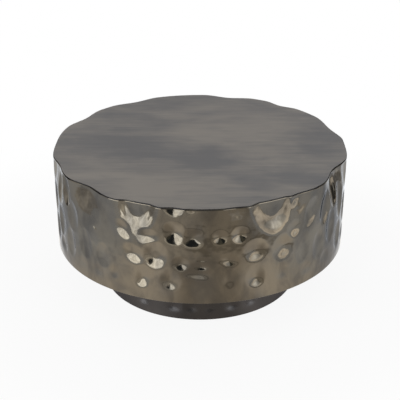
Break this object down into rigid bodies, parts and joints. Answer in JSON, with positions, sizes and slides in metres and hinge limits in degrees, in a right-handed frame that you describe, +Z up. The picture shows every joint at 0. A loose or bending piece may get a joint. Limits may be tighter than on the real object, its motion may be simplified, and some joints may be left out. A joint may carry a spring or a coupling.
{
  "type": "hammered metal drum coffee table",
  "caption": "Low round coffee table: a hammered metal drum with a flat satin top, standing on a narrower recessed plinth.",
  "frame": {"origin": "on the floor, under the drum's axis", "axes": "+Z up along the drum's axis, -Y towards the front that the picture shows, +X to the right of that front"},
  "size_m": [0.8, 0.8, 0.396],
  "materials": {
    "polished_wall": "hammered sheet, polished, dark nickel tone",
    "satin_top": "satin, finely brushed one way, cloudy warm and cool patches",
    "dark_plinth": "hammered sheet, darkened and softly polished",
    "black_paint": "black powder coat over welded steel",
    "painted_board": "black painted fibreboard",
    "black_screws": "black oxide",
    "zinc_fixings": "bright zinc plate",
    "black_nylon": "moulded nylon"
  },
  "bodies": {
    "root": {"drum_wall": "polished_wall", "top_plate": "satin_top", "rim_ring": "black_paint", "lower_rail_through": "black_paint", "lower_rail_front": "black_paint", "lower_rail_rear": "black_paint", "upper_rail_through": "black_paint", "upper_rail_front": "black_paint", "upper_rail_rear": "black_paint", "post_front": "black_paint", "post_right": "black_paint", "post_rear": "black_paint", "post_left": "black_paint", "underside_panel": "painted_board", "panel_screw_1": "black_screws", "panel_screw_2": "black_screws", "panel_screw_3": "black_screws", "panel_screw_4": "black_screws", "panel_screw_5": "black_screws", "panel_screw_6": "black_screws", "panel_screw_7": "black_screws", "panel_screw_8": "black_screws", "plinth_wall": "dark_plinth", "plinth_flange": "black_paint", "plinth_foot_ring": "black_paint", "plinth_bolt_front": "zinc_fixings", "plinth_washer_front": "zinc_fixings", "weld_nut_front": "zinc_fixings", "plinth_bolt_right": "zinc_fixings", "plinth_washer_right": "zinc_fixings", "weld_nut_right": "zinc_fixings", "plinth_bolt_rear": "zinc_fixings", "plinth_washer_rear": "zinc_fixings", "weld_nut_rear": "zinc_fixings", "plinth_bolt_left": "zinc_fixings", "plinth_washer_left": "zinc_fixings", "weld_nut_left": "zinc_fixings", "glide_1": "black_nylon", "glide_screw_1": "zinc_fixings", "glide_2": "black_nylon", "glide_screw_2": "zinc_fixings", "glide_3": "black_nylon", "glide_screw_3": "zinc_fixings", "glide_4": "black_nylon", "glide_screw_4": "zinc_fixings", "glide_5": "black_nylon", "glide_screw_5": "zinc_fixings", "glide_6": "black_nylon", "glide_screw_6": "zinc_fixings"}
  },
  "joints": []
}
